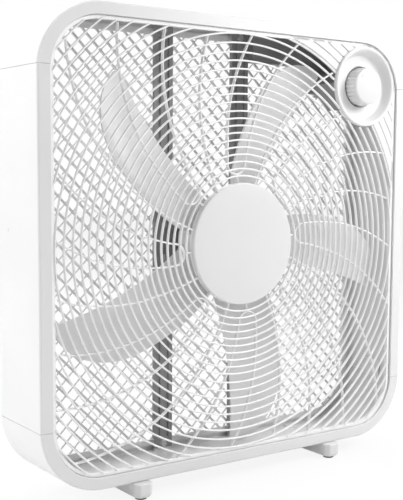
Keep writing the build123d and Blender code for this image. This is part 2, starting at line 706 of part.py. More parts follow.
with BuildPart() as blade:
    with BuildSketch(Plane(blade_cone_apex, x_dir=(cos(cone_line), 0, sin(cone_line)), z_dir=(0, -1, 0))):
        with Locations((sum(blade_cone_reach) / 2, -blade_thickness / 2)):
            Rectangle(blade_cone_reach[1] - blade_cone_reach[0], blade_thickness)
    upwards = (cos(cone_axis), 0, sin(cone_axis))
    revolve(axis=Axis(blade_cone_apex, upwards), revolution_arc=blade_cone_sweep)
    with BuildSketch(Plane.XY.offset(-body_depth / 2)):
        with BuildLine():
            hollow = ThreePointArc(
                (blade_start, -blade_start_flare),
                (blade_hollow_radius, 0),
                (blade_tip, -blade_tip_round),
            )
            JernArc(hollow @ 1, (1, 0), blade_tip_round, 90)
            EllipticalCenterArc(
                (blade_widest, 0), blade_tip_radius - blade_widest, blade_width, 0, arc_size=90
            )
            belly = EllipticalCenterArc(
                (blade_widest, 0), blade_belly, blade_width, 90, arc_size=blade_root_turn - 90
            )
            Line(belly @ 1, hollow @ 0)
        make_face()
        Circle(blade_root_radius, mode=Mode.SUBTRACT)
    extrude(amount=body_depth, mode=Mode.INTERSECT)

with BuildPart(facing(0)) as fan:
    with PolarLocations(0, blade_count, blade_angle):
        add(blade.part)
    with BuildSketch(facing(hub_back_y)):
        RegularPolygon(hub_radius, hub_sides)
    extrude(amount=hub_back_y - hub_front_y)
    with BuildSketch(facing(hub_back_y)):
        RegularPolygon(hub_radius - hub_wall, hub_sides)
    extrude(amount=hub_back_y - hub_front_y - hub_wall, mode=Mode.SUBTRACT)
    with BuildSketch(facing(hub_boss_back_y)):
        RegularPolygon(hub_boss_radius, round_sides)
    extrude(amount=hub_boss_back_y - hub_front_y - hub_wall)
    with BuildSketch(facing(hub_boss_back_y)):
        Circle(shaft_radius + running_clearance)
    extrude(amount=hub_boss_back_y - hub_front_y, mode=Mode.SUBTRACT)

# ---- Every piece in its own file --------------------------------------------------------------
pieces = {
    "top_shell": top_shell,
    "bottom_shell": bottom_shell,
    **side_panels,
    **feet,
    "foot_pads": foot_pads,
    "front_grille": front_grille,
    "front_grille_rings": front_grille_rings,
    "hub_disc": hub_disc,
    "control_panel": control_panel,
    "speed_knob": speed_knob,
    "switch_shaft": switch_shaft,
    "rotary_switch": rotary_switch,
    "switch_housing": switch_housing,
    "wiring_cover": wiring_cover,
    "run_capacitor": run_capacitor,
    **motor_bars,
    "motor_mount": motor_mount,
    "motor_rear_shell": motor_rear_shell,
    "motor_front_shell": motor_front_shell,
    "stator_core": stator_core,
    "stator_winding": stator_winding,
    "rotor": rotor,
    "fan": fan,
}
os.makedirs("parts", exist_ok=True)
for piece_name, piece in pieces.items():
    piece.part.label = piece_name
    export_step(piece.part, f"parts/{piece_name}.step")
rear_grille.label = "rear_grille"
export_step(rear_grille, "parts/rear_grille.step")
print(len(pieces) + 1, "pieces written")
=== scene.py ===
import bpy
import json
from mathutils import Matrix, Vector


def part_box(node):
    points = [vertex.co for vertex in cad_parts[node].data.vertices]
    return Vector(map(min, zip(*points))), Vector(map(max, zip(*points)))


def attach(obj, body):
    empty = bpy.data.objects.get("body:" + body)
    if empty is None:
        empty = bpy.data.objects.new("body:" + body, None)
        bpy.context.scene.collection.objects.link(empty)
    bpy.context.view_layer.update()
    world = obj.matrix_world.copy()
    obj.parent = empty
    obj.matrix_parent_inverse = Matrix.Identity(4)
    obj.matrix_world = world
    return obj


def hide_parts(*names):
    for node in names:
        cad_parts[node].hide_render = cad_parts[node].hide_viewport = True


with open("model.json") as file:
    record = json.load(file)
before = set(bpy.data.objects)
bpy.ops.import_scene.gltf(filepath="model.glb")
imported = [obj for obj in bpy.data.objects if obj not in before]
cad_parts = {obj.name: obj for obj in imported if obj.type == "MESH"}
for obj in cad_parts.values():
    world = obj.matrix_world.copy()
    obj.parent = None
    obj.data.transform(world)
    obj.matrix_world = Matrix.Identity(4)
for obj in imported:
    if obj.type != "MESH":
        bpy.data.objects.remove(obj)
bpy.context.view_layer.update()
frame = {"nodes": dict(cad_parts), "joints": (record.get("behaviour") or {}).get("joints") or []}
print("solid pieces:", len(frame["nodes"]))

# %% [markdown]
# ## Measures
# Everything is in metres. X is the viewer's right, Y runs to the back and Z is up, so the front faces
# -Y. The sizes could be typed in again here, but then the two models could disagree. So whatever the
# solid model already knows is read from the boxes round its pieces.
# %% Measures taken from the solid model
import json
from functools import partial
from math import atan2, cos, pi, radians, sin

import bmesh
import bpy
from mathutils import Matrix, Vector

mm = 0.001
joints = {joint["name"]: joint for joint in frame["joints"]}
fan_z = joints["fan_spin"]["pos_m"][2]
knob_x, _, knob_z = joints["knob_turn"]["pos_m"]
knob_up = knob_z - fan_z

rings_low, rings_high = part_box("front_grille_rings")
guard_low, guard_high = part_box("front_grille")
disc_low, disc_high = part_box("hub_disc")
panel_low, panel_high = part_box("control_panel")
print("fan axis at", round(fan_z, 4), "knob axis at", round(knob_x, 4), round(knob_z, 4))

# %% [markdown]
# ## Small tools for building meshes
# Most moulded pieces here are rows of points joined by faces: a turned piece is a profile repeated in
# steps round an axis, and a frame is one outline joined to the next. A Screw modifier and a curve
# could make them, but plain rows of points need only one helper for both.
# %% Rows of points
def keep(mesh, name):
    """An object for a mesh that is already in its place."""
    piece = bpy.data.objects.new(name, mesh)
    bpy.context.scene.collection.objects.link(piece)
    return piece


def join_rows(shape, rows, around=False, closed=True):
    """Faces between neighbouring rows. Around also joins the last row to the first."""
    following_rows = rows[1:] + rows[:1] if around else rows[1:]
    for this, following in zip(rows, following_rows):
        count = len(this)
        for k in range(count if closed else count - 1):
            after = (k + 1) % count
            shape.faces.new((this[k], this[after], following[after], following[k]))


def as_piece(shape, name):
    """Points the faces outwards and makes an object of the finished shape."""
    bmesh.ops.recalc_face_normals(shape, faces=shape.faces)
    mesh = bpy.data.meshes.new(name)
    shape.to_mesh(mesh)
    shape.free()
    return keep(mesh, name)


def turned(name, profile, x, z, steps=96, closed=True):
    """A piece turned about the axis through x and z, from a profile of (radius, y) points."""
    shape = bmesh.new()
    rows = []
    for step in range(steps):
        angle = 2 * pi * step / steps
        rows.append([shape.verts.new((x + r * cos(angle), y, z + r * sin(angle))) for r, y in profile])
    join_rows(shape, rows, around=True, closed=closed)
    bmesh.ops.remove_doubles(shape, verts=shape.verts, dist=1e-6)
    return as_piece(shape, name)


# %% [markdown]
# Real mouldings have no sharp edges. The roundings could be modelled into every profile, but a Bevel
# modifier makes them all by one rule and leaves the mesh below it simple.
# %% Rounding and finishing
def round_edges(piece, width, segments=3, angle=30):
    """Rounds the edges that are sharper than the angle, and shades the rest smooth."""
    piece.data.shade_smooth()
    bevel = piece.modifiers.new("Round edges", "BEVEL")
    bevel.width = width
    bevel.segments = segments
    bevel.limit_method = "ANGLE"
    bevel.angle_limit = radians(angle)
    bevel.harden_normals = True
    return piece


def finish(piece, material, body, *nodes):
    """Gives a piece its material, the body it rides on and the solid pieces it stands for."""
    piece.data.materials.clear()
    piece.data.materials.append(material)
    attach(piece, body)
    if nodes:
        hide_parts(*nodes)
    print(f"{piece.name}: {len(piece.data.polygons)} faces on {body}")


# %% [markdown]
# ## A small vocabulary for Geometry Nodes
# A tree could be drawn by hand in the editor, but one in a script can be read and repeated. It reads
# best when each node takes one line: `node` adds any node and wires or fills its sockets, `geo` adds
# a geometry node, and `calc` does arithmetic.
# %% Nodes in one line each
def new_tree(name, sizes):
    """A tree whose group inputs are these named sizes. Returns the tree and its input sockets."""
    tree = bpy.data.node_groups.new(name, "GeometryNodeTree")
    tree.interface.new_socket("Geometry", in_out="INPUT", socket_type="NodeSocketGeometry")
    tree.interface.new_socket("Geometry", in_out="OUTPUT", socket_type="NodeSocketGeometry")
    for label, value in sizes.items():
        kind = "NodeSocketInt" if isinstance(value, int) else "NodeSocketFloat"
        tree.interface.new_socket(label, in_out="INPUT", socket_type=kind).default_value = value
    return tree, tree.nodes.new("NodeGroupInput").outputs


def node(tree, kind, sockets=None, **settings):
    """Adds a node. A socket's value is another node's output, or a plain value."""
    made = tree.nodes.new(kind)
    for key, value in settings.items():
        setattr(made, key, value)
    for key, value in (sockets or {}).items():
        if isinstance(value, bpy.types.NodeSocket):
            tree.links.new(value, made.inputs[key])
        else:
            made.inputs[key].default_value = value
    return made


def geo(tree, kind, sockets=None, **settings):
    """Adds a geometry node and gives its first output."""
    return node(tree, "GeometryNode" + kind, sockets, **settings).outputs[0]


def calc(tree, operation, *terms):
    """The output socket of a Math node."""
    return node(tree, "ShaderNodeMath", dict(enumerate(terms)), operation=operation).outputs[0]


def xyz(tree, x=0.0, y=0.0, z=0.0):
    """Three values as one place, scale or rotation."""
    return node(tree, "ShaderNodeCombineXYZ", {"X": x, "Y": y, "Z": z}).outputs[0]


def stepped(tree, every, first):
    """The first value for the first point, and one step more for each further point."""
    return calc(tree, "MULTIPLY_ADD", geo(tree, "InputIndex"), every, first)


def joined(tree, *parts):
    """Several geometries as one."""
    join = node(tree, "GeometryNodeJoinGeometry")
    for part in parts:
        tree.links.new(part, join.inputs[0])
    return join.outputs[0]


# %% [markdown]
# A tree cuts by deleting points for which a test is true. A boolean with a solid could cut too, but
# it is slow and leaves ragged edges on thin wires.
# %% Tests
def combined(tree, operation, *tests):
    """These tests joined by AND or OR."""
    result = tests[0]
    for test in tests[1:]:
        result = node(tree, "FunctionNodeBooleanMath", {0: result, 1: test}, operation=operation).outputs[0]
    return result


def over(tree, value, limit):
    """True where the value is over the limit."""
    return node(tree, "FunctionNodeCompare", {0: value, 1: limit}, operation="GREATER_THAN").outputs[0]


# %% [markdown]
# The modifier that runs a tree could stay on its piece, but then it would be worked out again each
# time. So `grow` keeps what the tree makes as a plain mesh and clears the modifier away.
# %% Ending and running a tree
def close_tree(tree, geometry, material, smooth=True):
    """Ends a tree: instances made real, smooth shading if it is wanted, and one material."""
    real = geo(tree, "RealizeInstances", {"Geometry": geometry})
    if smooth:
        real = geo(tree, "SetShadeSmooth", {"Geometry": real})
    painted = geo(tree, "SetMaterial", {"Geometry": real, "Material": material})
    node(tree, "NodeGroupOutput", {"Geometry": painted})
    print(f"tree of {tree.name}: {len(tree.nodes)} nodes")


def grow(name, tree, sizes, places=()):
    """Runs a tree with these sizes, on these places, and keeps what it makes as a plain mesh."""
    start = bpy.data.meshes.new(name)
    start.from_pydata(places, [], [])
    piece = keep(start, name)
    shape = piece.modifiers.new("Shape", "NODES")
    shape.node_group = tree
    inputs = {item.name: item.identifier for item in tree.interface.items_tree if item.in_out == "INPUT"}
    for label, value in sizes.items():
        shape[inputs[label]] = value
    ready = piece.evaluated_get(bpy.context.evaluated_depsgraph_get())
    plain = bpy.data.meshes.new_from_object(ready)
    piece.modifiers.clear()
    piece.data = plain
    return piece


# %% [markdown]
# ## Materials
# The casing is glossy white polystyrene. Moulded plastic is never perfectly flat: it has a faint
# ripple that only shows in the highlights, and its gloss varies a little. An image could hold both,
# but it would have to be unwrapped onto every piece. Noise on Object coordinates needs no unwrapping
# and stays fixed to the piece.
# %% One recipe for plastic, paint and metal
gloss_spread = 0.05
patch_scale, patch_detail, ripple_detail = 14.0, 3.0, 2.0


def surface(name, colour, roughness, ripple=0.02, ripple_scale=250.0, shade=0.03, metallic=0.0):
    """A procedural material: noise drives a small bump, and it varies roughness and colour a little."""
    material = bpy.data.materials.new(name)
    material.use_nodes = True
    tree = material.node_tree
    principled = tree.nodes["Principled BSDF"].inputs
    principled["Metallic"].default_value = metallic
    place = node(tree, "ShaderNodeTexCoord").outputs["Object"]
    patches = {"Vector": place, "Scale": patch_scale, "Detail": patch_detail}
    coarse = node(tree, "ShaderNodeTexNoise", patches).outputs["Fac"]
    ripples = {"Vector": place, "Scale": ripple_scale, "Detail": ripple_detail}
    fine = node(tree, "ShaderNodeTexNoise", ripples).outputs["Fac"]
    spread = {"Value": coarse, "To Min": roughness - gloss_spread, "To Max": roughness + gloss_spread}
    tree.links.new(node(tree, "ShaderNodeMapRange", spread).outputs["Result"], principled["Roughness"])
    ramp = node(tree, "ShaderNodeValToRGB", {"Fac": coarse})
    shaded = [c * (1 - shade) for c in colour]
    for element, position, tint in zip(ramp.color_ramp.elements, (0.3, 0.7), (shaded, colour)):
        element.position = position
        element.color = (*tint, 1)
    tree.links.new(ramp.outputs["Color"], principled["Base Color"])
    bump = {"Height": fine, "Strength": ripple, "Distance": 1 * mm}
    tree.links.new(node(tree, "ShaderNodeBump", bump).outputs["Normal"], principled["Normal"])
    return material


# %% [markdown]
# Each finish is one call with a colour and a roughness. One white could serve all the plastic. The
# guard's white is set above the casing's as painted light, for the light that its round wires catch, and
# the knob's below it as painted shade, so that the key lamp does not burn out its face. The disc and the
# blades each look like a batch of their own.
# %% Finishes
white_plastic = surface("white_plastic", (0.77, 0.77, 0.77), 0.3)
# Painted light: the guard's white is raised above the casing's for the light its round wires catch.
guard_white_painted_light = surface("guard_white_painted_light", (0.93, 0.93, 0.93), 0.28)
# Painted shade: the knob's white is lowered so that the key lamp does not burn out its face.
knob_white_painted_shade = surface("knob_white_painted_shade", (0.73, 0.73, 0.73), 0.32)
disc_plastic = surface("disc_plastic", (0.76, 0.76, 0.76), 0.34, ripple=0.03)
blade_plastic = surface("blade_plastic", (0.79, 0.79, 0.79), 0.33)
dark_steel = surface("dark_steel", (0.3, 0.3, 0.3), 0.4, ripple=0.05, ripple_scale=600.0, shade=0.2)
dark_plastic = surface("dark_plastic", (0.27, 0.27, 0.27), 0.5, ripple=0.08, ripple_scale=500.0)
black_plastic = surface("black_plastic", (0.02, 0.02, 0.021), 0.45, ripple=0.05)
bare_steel = surface("bare_steel", (0.56, 0.57, 0.58), 0.36, ripple=0.06, ripple_scale=900.0, metallic=1.0)
rubber = surface("rubber", (0.1, 0.1, 0.105), 0.75, ripple=0.15, ripple_scale=900.0, shade=0.15)
winding_wire = surface("winding_wire", (0.42, 0.16, 0.06), 0.35, 0.3, ripple_scale=700.0, metallic=0.6)
print("materials:", len(bpy.data.materials))

# %% [markdown]
# ## Casing, feet and everything that keeps its outline
# The solid model has the right outline for the shells, the side panels and the feet, but its edges
# are razor sharp, and no moulding's are. They could be modelled again. It is simpler to copy each
# one, weld its loose triangles and let a bevel round every real edge. The rounding also opens the
# seams into fine grooves.
# %% Rounded copies of solid pieces
def softened(node_name, material, width, segments=2):
    """A rounded copy of a solid piece of the casing, which takes that piece's place."""
    mesh = frame["nodes"][node_name].data.copy()
    shape = bmesh.new()
    shape.from_mesh(mesh)
    bmesh.ops.remove_doubles(shape, verts=shape.verts, dist=2e-6)
    bmesh.ops.dissolve_limit(shape, angle_limit=radians(0.5), verts=shape.verts, edges=shape.edges)
    bmesh.ops.triangulate(shape, faces=[face for face in shape.faces if len(face.verts) > 4])
    shape.to_mesh(mesh)
    shape.free()
    if mesh.has_custom_normals:
        mesh.attributes.remove(mesh.attributes["custom_normal"])
    piece = keep(mesh, node_name + "_rounded")
    round_edges(piece, width, segments)
    finish(piece, material, "casing", node_name)


for shell in ("top_shell", "bottom_shell", "left_side_panel", "right_side_panel"):
    softened(shell, white_plastic, 0.7 * mm, 3)
for foot in ("foot_left", "foot_right"):
    softened(foot, white_plastic, 1.6 * mm, 3)
softened("foot_pads", rubber, 0.5 * mm)
softened("rear_grille", white_plastic, 0.35 * mm)

# %% [markdown]
# ## The guard's rings
# Twenty-six rings in three zones of pitch, the outer ones cut to arcs by the square opening and by
# the control plate in the corner. They could be 26 curves, with the ends of each worked out by hand.
# The rule is simple, though, so a tree makes them: one point for each ring, a unit circle on each
# point scaled to its radius, and then a test that deletes what is outside.
# %% What the opening and the dish leave out
def outside_circle(tree, x, z, radius):
    """True where a point is further from the middle than the radius."""
    squares = [calc(tree, "MULTIPLY", value, value) for value in (x, z)]
    return over(tree, calc(tree, "SQRT", calc(tree, "ADD", *squares)), radius)


def outside_opening(tree, sizes, x, z):
    """True outside a rounded rectangle with half sizes Half X and Half Z and the radius Corner."""
    past = []
    for value, half in ((x, sizes["Half X"]), (z, sizes["Half Z"])):
        straight = calc(tree, "SUBTRACT", half, sizes["Corner"])
        from_corner = calc(tree, "SUBTRACT", calc(tree, "ABSOLUTE", value), straight)
        past.append(calc(tree, "MAXIMUM", from_corner, 0.0))
    return outside_circle(tree, *past, sizes["Corner"])


def under_dish(tree, sizes, x, z):
    """True within the radius Dish of the knob's axis, which is at Dish X and Dish Z."""
    from_x = calc(tree, "SUBTRACT", x, sizes["Dish X"])
    from_z = calc(tree, "SUBTRACT", z, sizes["Dish Z"])
    outside = outside_circle(tree, from_x, from_z, sizes["Dish"])
    return node(tree, "FunctionNodeBooleanMath", {0: outside}, operation="NOT").outputs[0]


# %% [markdown]
# What is left becomes curves again, and a small oval is swept along them. Tubes could be scaled to
# size, but then the outer wires would come out thicker. The wires are made lying flat and are stood
# up to face the front at the end.
# %% From flat lines to standing wires
def flat_place(tree):
    """The X and Y of each point, before the wires are stood up to face the front."""
    split = node(tree, "ShaderNodeSeparateXYZ", {"Vector": geo(tree, "InputPosition")})
    return split.outputs["X"], split.outputs["Y"]


def sweep_oval(tree, curves, sizes, sides=8):
    """An oval wire, Width across and Depth deep, along curves that lie flat."""
    curves = geo(tree, "SetCurveNormal", {"Curve": curves}, mode="Z_UP")
    oval = geo(tree, "CurvePrimitiveCircle", {"Resolution": sides, "Radius": 0.5})
    scaled = {"Geometry": oval, "Scale": xyz(tree, sizes["Width"], sizes["Depth"], 1.0)}
    oval = geo(tree, "Transform", scaled)
    wire = {"Curve": curves, "Profile Curve": oval, "Fill Caps": True}
    return geo(tree, "CurveToMesh", wire)


def stand_up(tree, geometry, sizes):
    """Turns what was made lying flat to face the front, at depth Y and height Z."""
    place = xyz(tree, y=sizes["Y"], z=sizes["Z"])
    standing = {"Geometry": geometry, "Translation": place, "Rotation": (radians(90), 0, 0)}
    return geo(tree, "Transform", standing)


# %% [markdown]
# The wires run a little past the opening, so that they end inside the edge frame. The control plate
# and the dish cut the rings short.
# %% Sizes that the guard's pieces share
frame_width, run_in = 8.5 * mm, 1.0 * mm
opening = {
    "Half X": guard_high.x - frame_width + run_in,
    "Half Z": guard_high.z - fan_z - frame_width + run_in,
    "Corner": 56.0 * mm,
}
plate_edge = 248.5 * mm
dish_radius = 49.5 * mm
plate_cut = {"Plate": plate_edge, "Plate X": panel_low.x, "Plate Z": panel_low.z - fan_z}
dish_cut = {"Dish X": knob_x, "Dish Z": knob_up, "Dish": dish_radius + 0.3 * mm}
print("opening:", {label: round(value, 4) for label, value in opening.items()})

# %% [markdown]
# The end of each ring is found by deleting points, so the circles start out with a point every half
# degree. After the cut they are sampled again, coarsely, which keeps the mesh light.
# %% The tree of rings
ring_zones = {"inner": (79.0, 8.25, 10), "middle": (163.4, 9.4, 7), "outer": (230.3, 10.5, 9)}
ring_width, ring_depth = 2.2 * mm, rings_high.y - rings_low.y


def zone_sizes(zone):
    """A zone's first radius, its pitch and how many rings it has."""
    first, pitch, count = ring_zones[zone]
    return {"First": first * mm, "Pitch": pitch * mm, "Count": count}


ring_sizes = {
    **zone_sizes("inner"), "Width": ring_width, "Depth": ring_depth, **opening, **plate_cut, **dish_cut,
    "Y": (rings_low.y + rings_high.y) / 2, "Z": fan_z,
}
rings, size = new_tree("guard rings", ring_sizes)
points = geo(rings, "Points", {"Count": size["Count"]})
radius = stepped(rings, size["Pitch"], size["First"])
circle = geo(rings, "CurvePrimitiveCircle", {"Resolution": 720, "Radius": 1.0})
each = {"Points": points, "Instance": circle, "Scale": xyz(rings, radius, radius, 1.0)}
circles = geo(rings, "RealizeInstances", {"Geometry": geo(rings, "InstanceOnPoints", each)})
lines = geo(rings, "CurveToMesh", {"Curve": circles})
x, z = flat_place(rings)
past_edge = outside_circle(rings, x, z, size["Plate"])
in_corner = combined(rings, "AND", over(rings, x, size["Plate X"]), over(rings, z, size["Plate Z"]))
on_plate = combined(rings, "AND", past_edge, in_corner)
outside = outside_opening(rings, size, x, z)
gone = combined(rings, "OR", outside, on_plate, under_dish(rings, size, x, z))
lines = geo(rings, "DeleteGeometry", {"Geometry": lines, "Selection": gone})
arcs = geo(rings, "MeshToCurve", {"Mesh": lines})
sampled = {"Curve": arcs, "Length": 5.5 * mm}
arcs = geo(rings, "ResampleCurve", sampled, mode="LENGTH")
close_tree(rings, stand_up(rings, sweep_oval(rings, arcs, size), size), guard_white_painted_light)

# %% [markdown]
# The rings are close together near the hub and wider apart further out. Three trees could make the
# three zones, but three runs of one tree can't drift apart.
# %% Grow the rings
for zone in ring_zones:
    zone_rings = grow(f"guard_rings_{zone}", rings, ring_sizes | zone_sizes(zone))
    finish(zone_rings, guard_white_painted_light, "casing", "front_grille_rings")

# %% [markdown]
# ## The guard's spokes
# Twenty-four spokes leave the hub and fall back more and more towards the rim. Each could be drawn as
# a curve of its own, but then no two would be quite alike. Here the angle of a spoke depends on the
# radius, so one straight line is bent by a formula and turned round the middle as often as needed.
# %% What goes round the middle
def polar_place(tree, radius, angle, height=0.0):
    """The place at this radius and angle on the flat."""
    x = calc(tree, "MULTIPLY", radius, calc(tree, "COSINE", angle))
    y = calc(tree, "MULTIPLY", radius, calc(tree, "SINE", angle))
    return xyz(tree, x, y, height)


def copies_round(tree, thing, count, turn):
    """Copies of a thing round the middle. The turn of each comes from a socket."""
    points = geo(tree, "Points", {"Count": count})
    each = {"Points": points, "Instance": thing, "Rotation": xyz(tree, z=turn)}
    return geo(tree, "InstanceOnPoints", each)


# %% [markdown]
# A spoke falls back by the same angle for each millimetre of radius at first. Once it is `curl_start`
# past its bend at the hub, it falls back faster and faster. Both rates are angles per metre.
# %% The tree of spokes
spoke_width, spoke_depth = 2.2 * mm, 5.2 * mm
spoke_y = guard_high.y - spoke_depth / 2 - 0.2 * mm
spoke_count, hub_angle = 24, radians(13.2)
bend_start, curl_start = 94 * mm, 60 * mm
fall_rate, curl_rate = radians(95.0), radians(180.0)
spoke_sizes = {
    "Count": spoke_count, "First turn": 0, "Every": 1, "Inner": bend_start, "Outer": 325 * mm,
    "Width": spoke_width, "Depth": spoke_depth, **opening, **dish_cut, "Y": spoke_y, "Z": fan_z,
}
spokes, size = new_tree("guard spokes", spoke_sizes)
line = geo(spokes, "CurvePrimitiveLine")
line = geo(spokes, "ResampleCurve", {"Curve": line, "Count": 48}, mode="COUNT")
along = geo(spokes, "SplineParameter")
reach = calc(spokes, "SUBTRACT", size["Outer"], size["Inner"])
radius = calc(spokes, "MULTIPLY_ADD", along, reach, size["Inner"])
out = calc(spokes, "SUBTRACT", radius, bend_start)
fall = calc(spokes, "MULTIPLY", out, fall_rate)
late = calc(spokes, "MAXIMUM", calc(spokes, "SUBTRACT", out, curl_start), 0.0)
curl = calc(spokes, "MULTIPLY", calc(spokes, "MULTIPLY", out, late), curl_rate)
angle = calc(spokes, "SUBTRACT", calc(spokes, "SUBTRACT", hub_angle, fall), curl)
line = geo(spokes, "SetPosition", {"Geometry": line, "Position": polar_place(spokes, radius, angle)})
turn = stepped(spokes, size["Every"], size["First turn"])
turn = calc(spokes, "MULTIPLY", turn, 2 * pi / spoke_count)
copies = copies_round(spokes, line, size["Count"], turn)
copies = geo(spokes, "RealizeInstances", {"Geometry": copies})
lines = geo(spokes, "CurveToMesh", {"Curve": copies})
x, z = flat_place(spokes)
gone = combined(spokes, "OR", outside_opening(spokes, size, x, z), under_dish(spokes, size, x, z))
lines = geo(spokes, "DeleteGeometry", {"Geometry": lines, "Selection": gone})
lines = geo(spokes, "MeshToCurve", {"Mesh": lines})
close_tree(spokes, stand_up(spokes, sweep_oval(spokes, lines, size), size), guard_white_painted_light)

# %% [markdown]
# Every third spoke runs in to the hub. A second tree could make the eight roots, but when the same one
# is run again with other sizes, each root follows its spoke's own formula and meets it without a kink.
# %% Grow the spokes
def guard_part(piece):
    """Finishes a piece that stands for a part of the guard's own solid piece."""
    finish(piece, guard_white_painted_light, "casing", "front_grille")


root_count, root_inner = 8, 68 * mm
guard_part(grow("guard_spokes", spokes, spoke_sizes))
root_turns = {"Count": root_count, "First turn": 1, "Every": 3}
root_sizes = spoke_sizes | root_turns | {"Inner": root_inner, "Outer": 96 * mm}
guard_part(grow("guard_spoke_roots", spokes, root_sizes))

# %% [markdown]
# The other spokes end in pairs, joined by a hairpin bend with a short stub that runs on to the hub.
# It could be bent from the spokes' own lines, but half a circle and a straight line are easier to
# steer. The tree places eight of them.
# %% The tree of hairpins
pin_sizes = {
    "Count": root_count, "Bend": 12.27 * mm, "At": 93.2 * mm, "Root": root_inner, "Width": spoke_width,
    "Depth": spoke_depth, "Y": spoke_y, "Z": fan_z,
}
pins, size = new_tree("hairpins", pin_sizes)
half_circle = {"Resolution": 20, "Radius": size["Bend"], "Start Angle": pi / 2, "Sweep Angle": pi}
bend = geo(pins, "CurveArc", half_circle, mode="RADIUS")
bend = geo(pins, "Transform", {"Geometry": bend, "Translation": xyz(pins, size["At"])})
tip = xyz(pins, calc(pins, "SUBTRACT", size["At"], size["Bend"]))
ends = {"Start": xyz(pins, size["Root"]), "End": tip}
stub = geo(pins, "CurvePrimitiveLine", ends)
turn = stepped(pins, 2 * pi / root_count, hub_angle - pi / spoke_count)
copies = copies_round(pins, joined(pins, bend, stub), size["Count"], turn)
copies = geo(pins, "RealizeInstances", {"Geometry": copies})
close_tree(pins, stand_up(pins, sweep_oval(pins, copies, size), size), guard_white_painted_light)
guard_part(grow("guard_hairpins", pins, pin_sizes))

# %% [markdown]
# ## The guard's edge frame and hub ring
# The spokes end in a frame that clips in behind the casing's rim. Its edge is stepped, which leaves a
# narrow slot along the rim. A boolean could cut the step. Rounded rectangles of equally many points,
# each given with its depth and joined into a strip, make a cleaner mesh.
# %% Rounded rectangles
frame_half_x, frame_half_z = guard_high.x, guard_high.z - fan_z
frame_corner = 63.5 * mm
slot_width, slot_depth = 4.8 * mm, 0.7 * mm


def frame_outline(inset, steps=16):
    """Points round a rounded rectangle, this far inside the frame's own outline."""
    half_x, half_z, corner = frame_half_x - inset, frame_half_z - inset, frame_corner - inset
    points = []
    for quarter, (side, up) in enumerate(((1, 1), (-1, 1), (-1, -1), (1, -1))):
        for step in range(steps + 1):
            angle = pi / 2 * (quarter + step / steps)
            x = side * (half_x - corner) + corner * cos(angle)
            z = up * (half_z - corner) + corner * sin(angle)
            points.append((x, fan_z + z))
    return points


# %% [markdown]
# The outlines follow the frame's section: along the floor of the slot, up onto the face, back at the
# inner edge and out again behind. The ring that carries the disc over the hub is a turned piece.
# %% Edge frame and hub ring
slot_floor = guard_low.y + slot_depth
frame_section = [
    (0, slot_floor), (slot_width, slot_floor), (slot_width, guard_low.y), (frame_width, guard_low.y),
    (frame_width, guard_high.y), (0, guard_high.y),
]
shape = bmesh.new()
rows = [[shape.verts.new((x, y, z)) for x, z in frame_outline(inset)] for inset, y in frame_section]
join_rows(shape, rows, around=True)
edge_frame = as_piece(shape, "guard_edge_frame")
guard_part(round_edges(edge_frame, 0.6 * mm))

ring_outer, ring_inner = disc_high.x, disc_high.x - 5 * mm
ring_front, ring_back = guard_high.y - 3 * mm, guard_high.y
profile = [(ring_outer, ring_front), (ring_outer, ring_back)]
profile += [(ring_inner, ring_back), (ring_inner, ring_front)]
hub_ring = turned("guard_hub_ring", profile, 0.0, fan_z)
guard_part(round_edges(hub_ring, 0.4 * mm))

# %% [markdown]
# ## The disc over the hub
# A plain cap closes the middle of the guard. A flat cylinder would do, but it would look dead. So the
# cap is very slightly crowned, which catches the light as a soft gradient, and its rim is rolled over.
# %% Hub disc
disc_radius = disc_high.x
disc_front, disc_back = disc_low.y, disc_high.y
disc_inside, disc_floor = disc_radius - 2 * mm, disc_front + 4 * mm
crown = 0.8 * mm
profile = [(0.0, disc_front)]
for share in (0.25, 0.5, 0.75, 0.93):
    profile.append((disc_radius * share, disc_front + crown * share**2))
profile += [(disc_radius - 0.8 * mm, disc_front + 1.1 * mm), (disc_radius, disc_front + 2.2 * mm)]
profile += [(disc_radius, disc_back), (disc_inside, disc_back)]
profile += [(disc_inside, disc_floor), (0.0, disc_floor)]
disc = turned("hub_disc_cap", profile, 0.0, fan_z, steps=128, closed=False)
finish(round_edges(disc, 0.5 * mm), disc_plastic, "casing", "hub_disc")

# %% [markdown]
# ## The fan's blades
# A blade is a piece of a cone. The cone's apex is near the hub and its lowest line runs out along the
# blade, so the sheet is steep at the root, flatter towards the tip and hollow across, which is what a
# fan needs. It could be sculpted, but then five blades would be hard to change together, and a tree
# needs only these sizes.
# %% The sizes of a blade
blade_sizes = {
    "Count": 5, "First angle": radians(57), "Root": 48.5 * mm, "Tip": 245 * mm, "Tip round": 6 * mm,
    "Widest at": 161 * mm, "Width": 64.5 * mm, "Belly": 142 * mm, "Hollow at": 166.4 * mm,
    "Hollow curve": 1.2, "Cone": radians(52), "Cone rise": radians(5.6), "Apex X": 8 * mm,
    "Apex Y": -27 * mm, "Apex Z": -6.4 * mm, "Thickness": 2.2 * mm, "Y": 0.0, "Z": fan_z,
}
root_start, root_end = -0.33, 0.66
blades, size = new_tree("fan blades", blade_sizes)
maths = partial(calc, blades)


def square(value):
    """A value of the blade's tree, times itself."""
    return maths("MULTIPLY", value, value)


def blend(share, start, end):
    """The value that is this share of the way from the start to the end."""
    return maths("MULTIPLY_ADD", share, maths("SUBTRACT", end, start), start)


# %% [markdown]
# The grid's X runs out along the blade and its Y runs across it. Even rows could be used, but a sine
# crowds them towards the tip, where the outline turns fastest. The root follows the round hub.
# %% Spread a grid along the blade
grid = geo(blades, "MeshGrid", {"Size X": 1.0, "Size Y": 1.0, "Vertices X": 44, "Vertices Y": 20})
x, y = flat_place(blades)
outwards = maths("SINE", maths("MULTIPLY", maths("ADD", x, 0.5), pi / 2))
across = maths("ADD", y, 0.5)
root_edges = [maths("MULTIPLY", size["Root"], share) for share in (root_start, root_end)]
root_across = blend(across, *root_edges)
root = maths("SQRT", maths("SUBTRACT", square(size["Root"]), square(root_across)))
radius = blend(outwards, root, size["Tip"])

